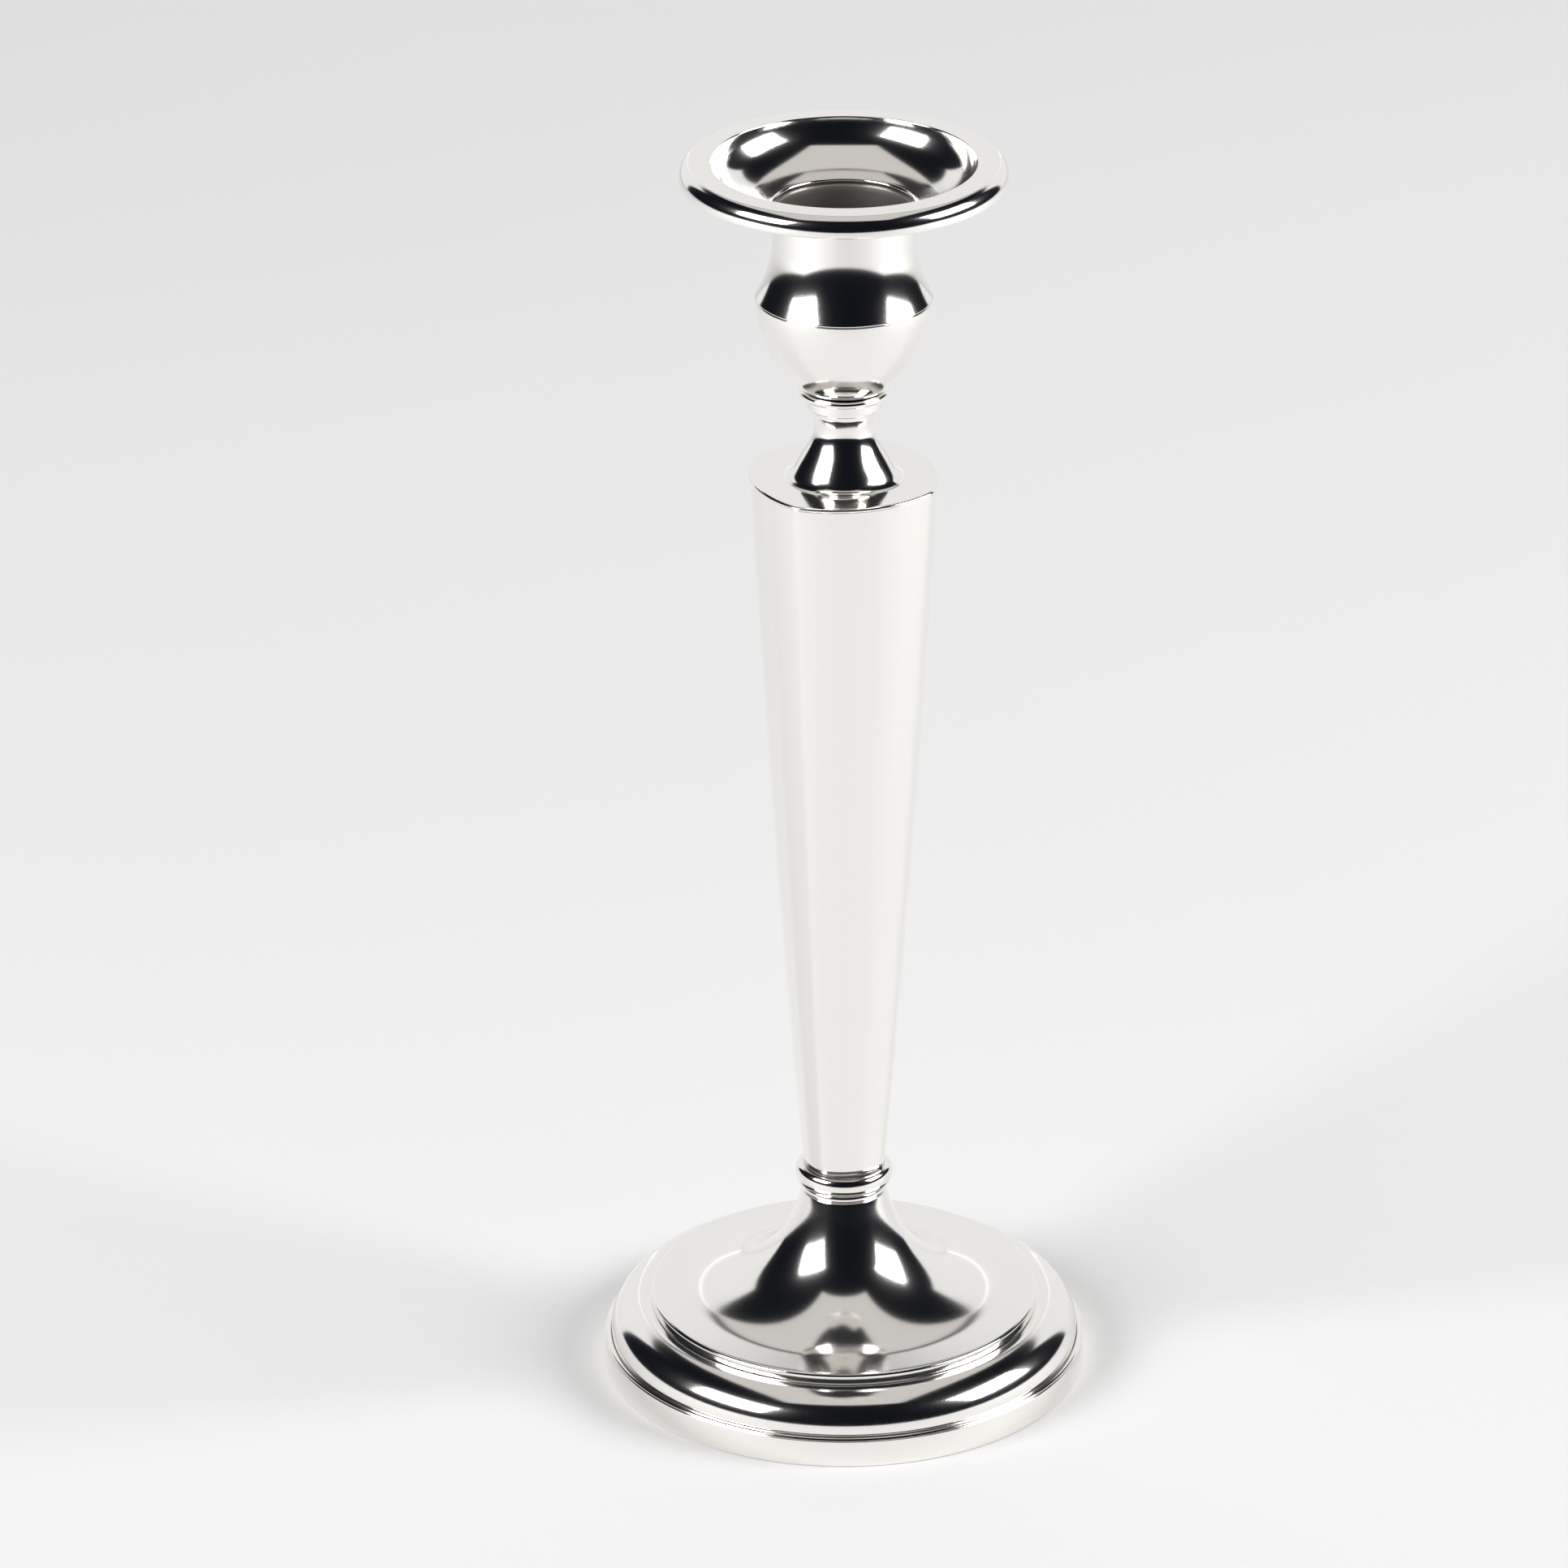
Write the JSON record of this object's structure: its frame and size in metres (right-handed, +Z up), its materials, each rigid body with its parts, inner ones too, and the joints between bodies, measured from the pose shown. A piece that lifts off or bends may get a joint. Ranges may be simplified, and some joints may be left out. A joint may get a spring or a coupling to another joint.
{
  "type": "candlestick",
  "caption": "Loaded silver candlestick with a round stepped foot, tapering column with four bowed faces, urn-shaped candle cup and wide drip pan, for one standard taper candle.",
  "frame": {"origin": "on the floor, under the middle of the round foot", "axes": "+Z up along the candlestick's axis; X and Y through the middles of the column's four faces"},
  "size_m": [0.0792, 0.0792, 0.2097],
  "materials": {
    "silver_spun": "polished silver, spun sheet",
    "silver_sheet": "polished silver, folded sheet",
    "silver_cast": "polished silver, turned and cast",
    "tinned_liner": "dull tinned metal, stained by wax",
    "cement": "matt plaster",
    "steel": "plain steel",
    "card": "plain",
    "felt": "felt"
  },
  "bodies": {
    "root": {"drip_pan_and_neck": "silver_spun", "socket_liner": "tinned_liner", "cup_bowl": "silver_spun", "cup_collar": "silver_cast", "shoulder_cap": "silver_cast", "column_shell": "silver_sheet", "column_ring": "silver_cast", "foot_shell": "silver_spun", "foot_moulding": "silver_spun", "plinth_band": "silver_cast", "cup_loading": "cement", "column_loading": "cement", "foot_loading": "cement", "core_rod": "steel", "upper_nut": "steel", "upper_washer": "steel", "lower_nut": "steel", "lower_washer": "steel", "closing_plate": "steel", "backing_card": "card", "felt_pad": "felt"}
  },
  "joints": []
}
